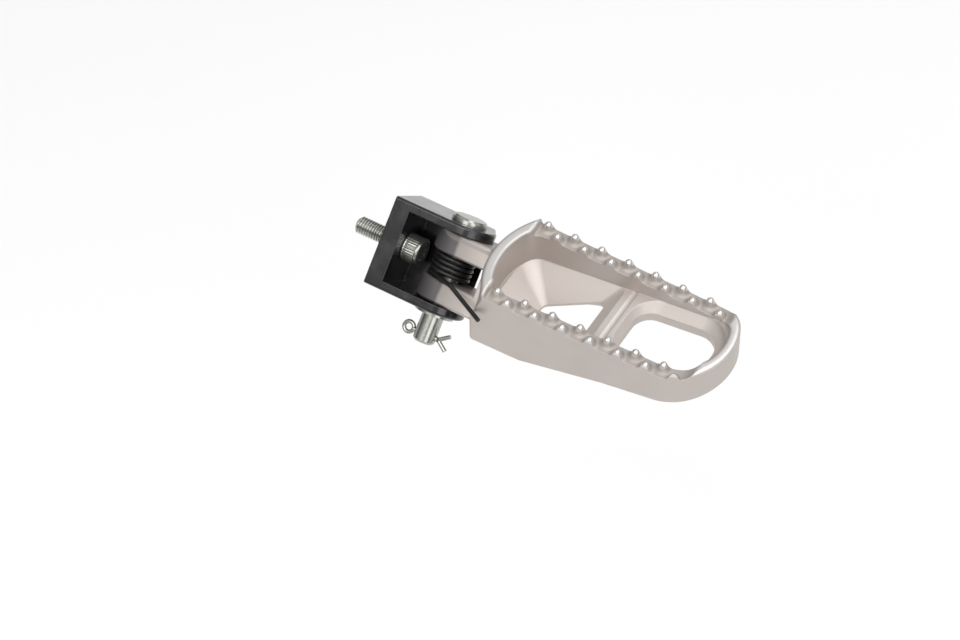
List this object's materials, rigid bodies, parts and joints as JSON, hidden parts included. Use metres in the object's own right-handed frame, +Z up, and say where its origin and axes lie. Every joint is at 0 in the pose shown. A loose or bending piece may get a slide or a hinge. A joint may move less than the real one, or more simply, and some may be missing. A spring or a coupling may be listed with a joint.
{
  "type": "motorcycle footpeg",
  "caption": "Folding motorcycle footpeg: toothed oval platform with two windows on a sprung hinge pin, in a clevis bracket that is screwed to the frame.",
  "frame": {"origin": "on the bracket's back face, at the axis of the screw between the ears", "axes": "+X away from the motorcycle's frame along the footpeg, +Y forwards, +Z up, with the footpeg folded out"},
  "size_m": [0.1815, 0.0656, 0.0608],
  "materials": {
    "cast_alloy": "bead-blasted satin, bright on the worn tips and edges",
    "black_paint": "gloss black paint",
    "zinc_steel": "zinc plated, satin",
    "spring_steel": "black phosphated wire"
  },
  "bodies": {
    "bracket": {"mounting_bracket": "black_paint", "mounting_screws": "zinc_steel", "pivot_pin": "zinc_steel", "pin_washer": "zinc_steel", "cotter_pin": "zinc_steel", "return_spring": "spring_steel"},
    "footpeg": {"footpeg": "cast_alloy"}
  },
  "joints": [
    {"name": "peg_fold", "type": "hinge", "parent": "bracket", "child": "footpeg", "pos_m": [0.031, 0, 0], "axis": [0, -0.7071, -0.7071], "range_deg": [0, 70], "stiffness_Nm_per_rad": 0.68, "springref_deg": -45.84, "deforming": ["return_spring"]}
  ]
}
